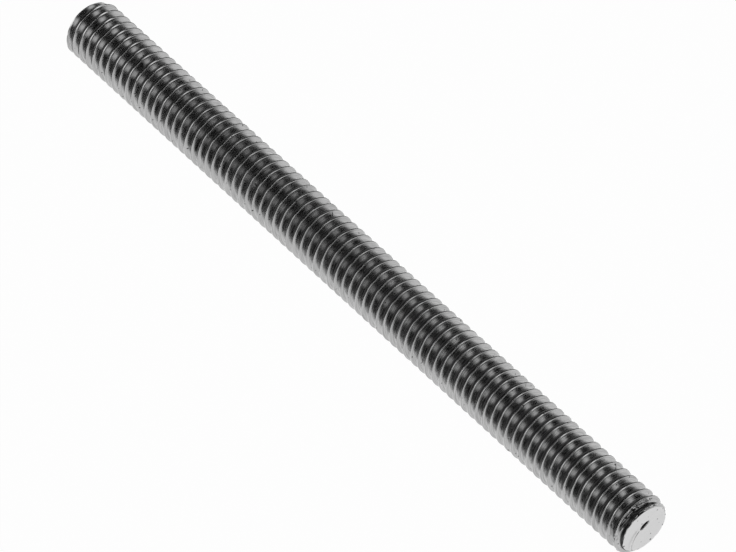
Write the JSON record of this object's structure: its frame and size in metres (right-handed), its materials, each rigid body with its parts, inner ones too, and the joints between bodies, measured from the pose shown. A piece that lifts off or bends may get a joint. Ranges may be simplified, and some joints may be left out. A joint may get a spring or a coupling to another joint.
{
  "type": "threaded rod",
  "caption": "Fully threaded steel rod with chamfered ends and a coarse right-hand thread over its whole length.",
  "frame": {"origin": "middle of the lower end face, which the rod stands on", "axes": "+Z along the rod's axis, from the plain end face up to the one with the small pit"},
  "size_m": [0.006, 0.006, 0.08],
  "materials": {
    "bright_steel": "bright rolled steel with fine turning streaks, darker in the thread's roots"
  },
  "bodies": {
    "root": {"threaded_rod": "bright_steel"}
  },
  "joints": []
}
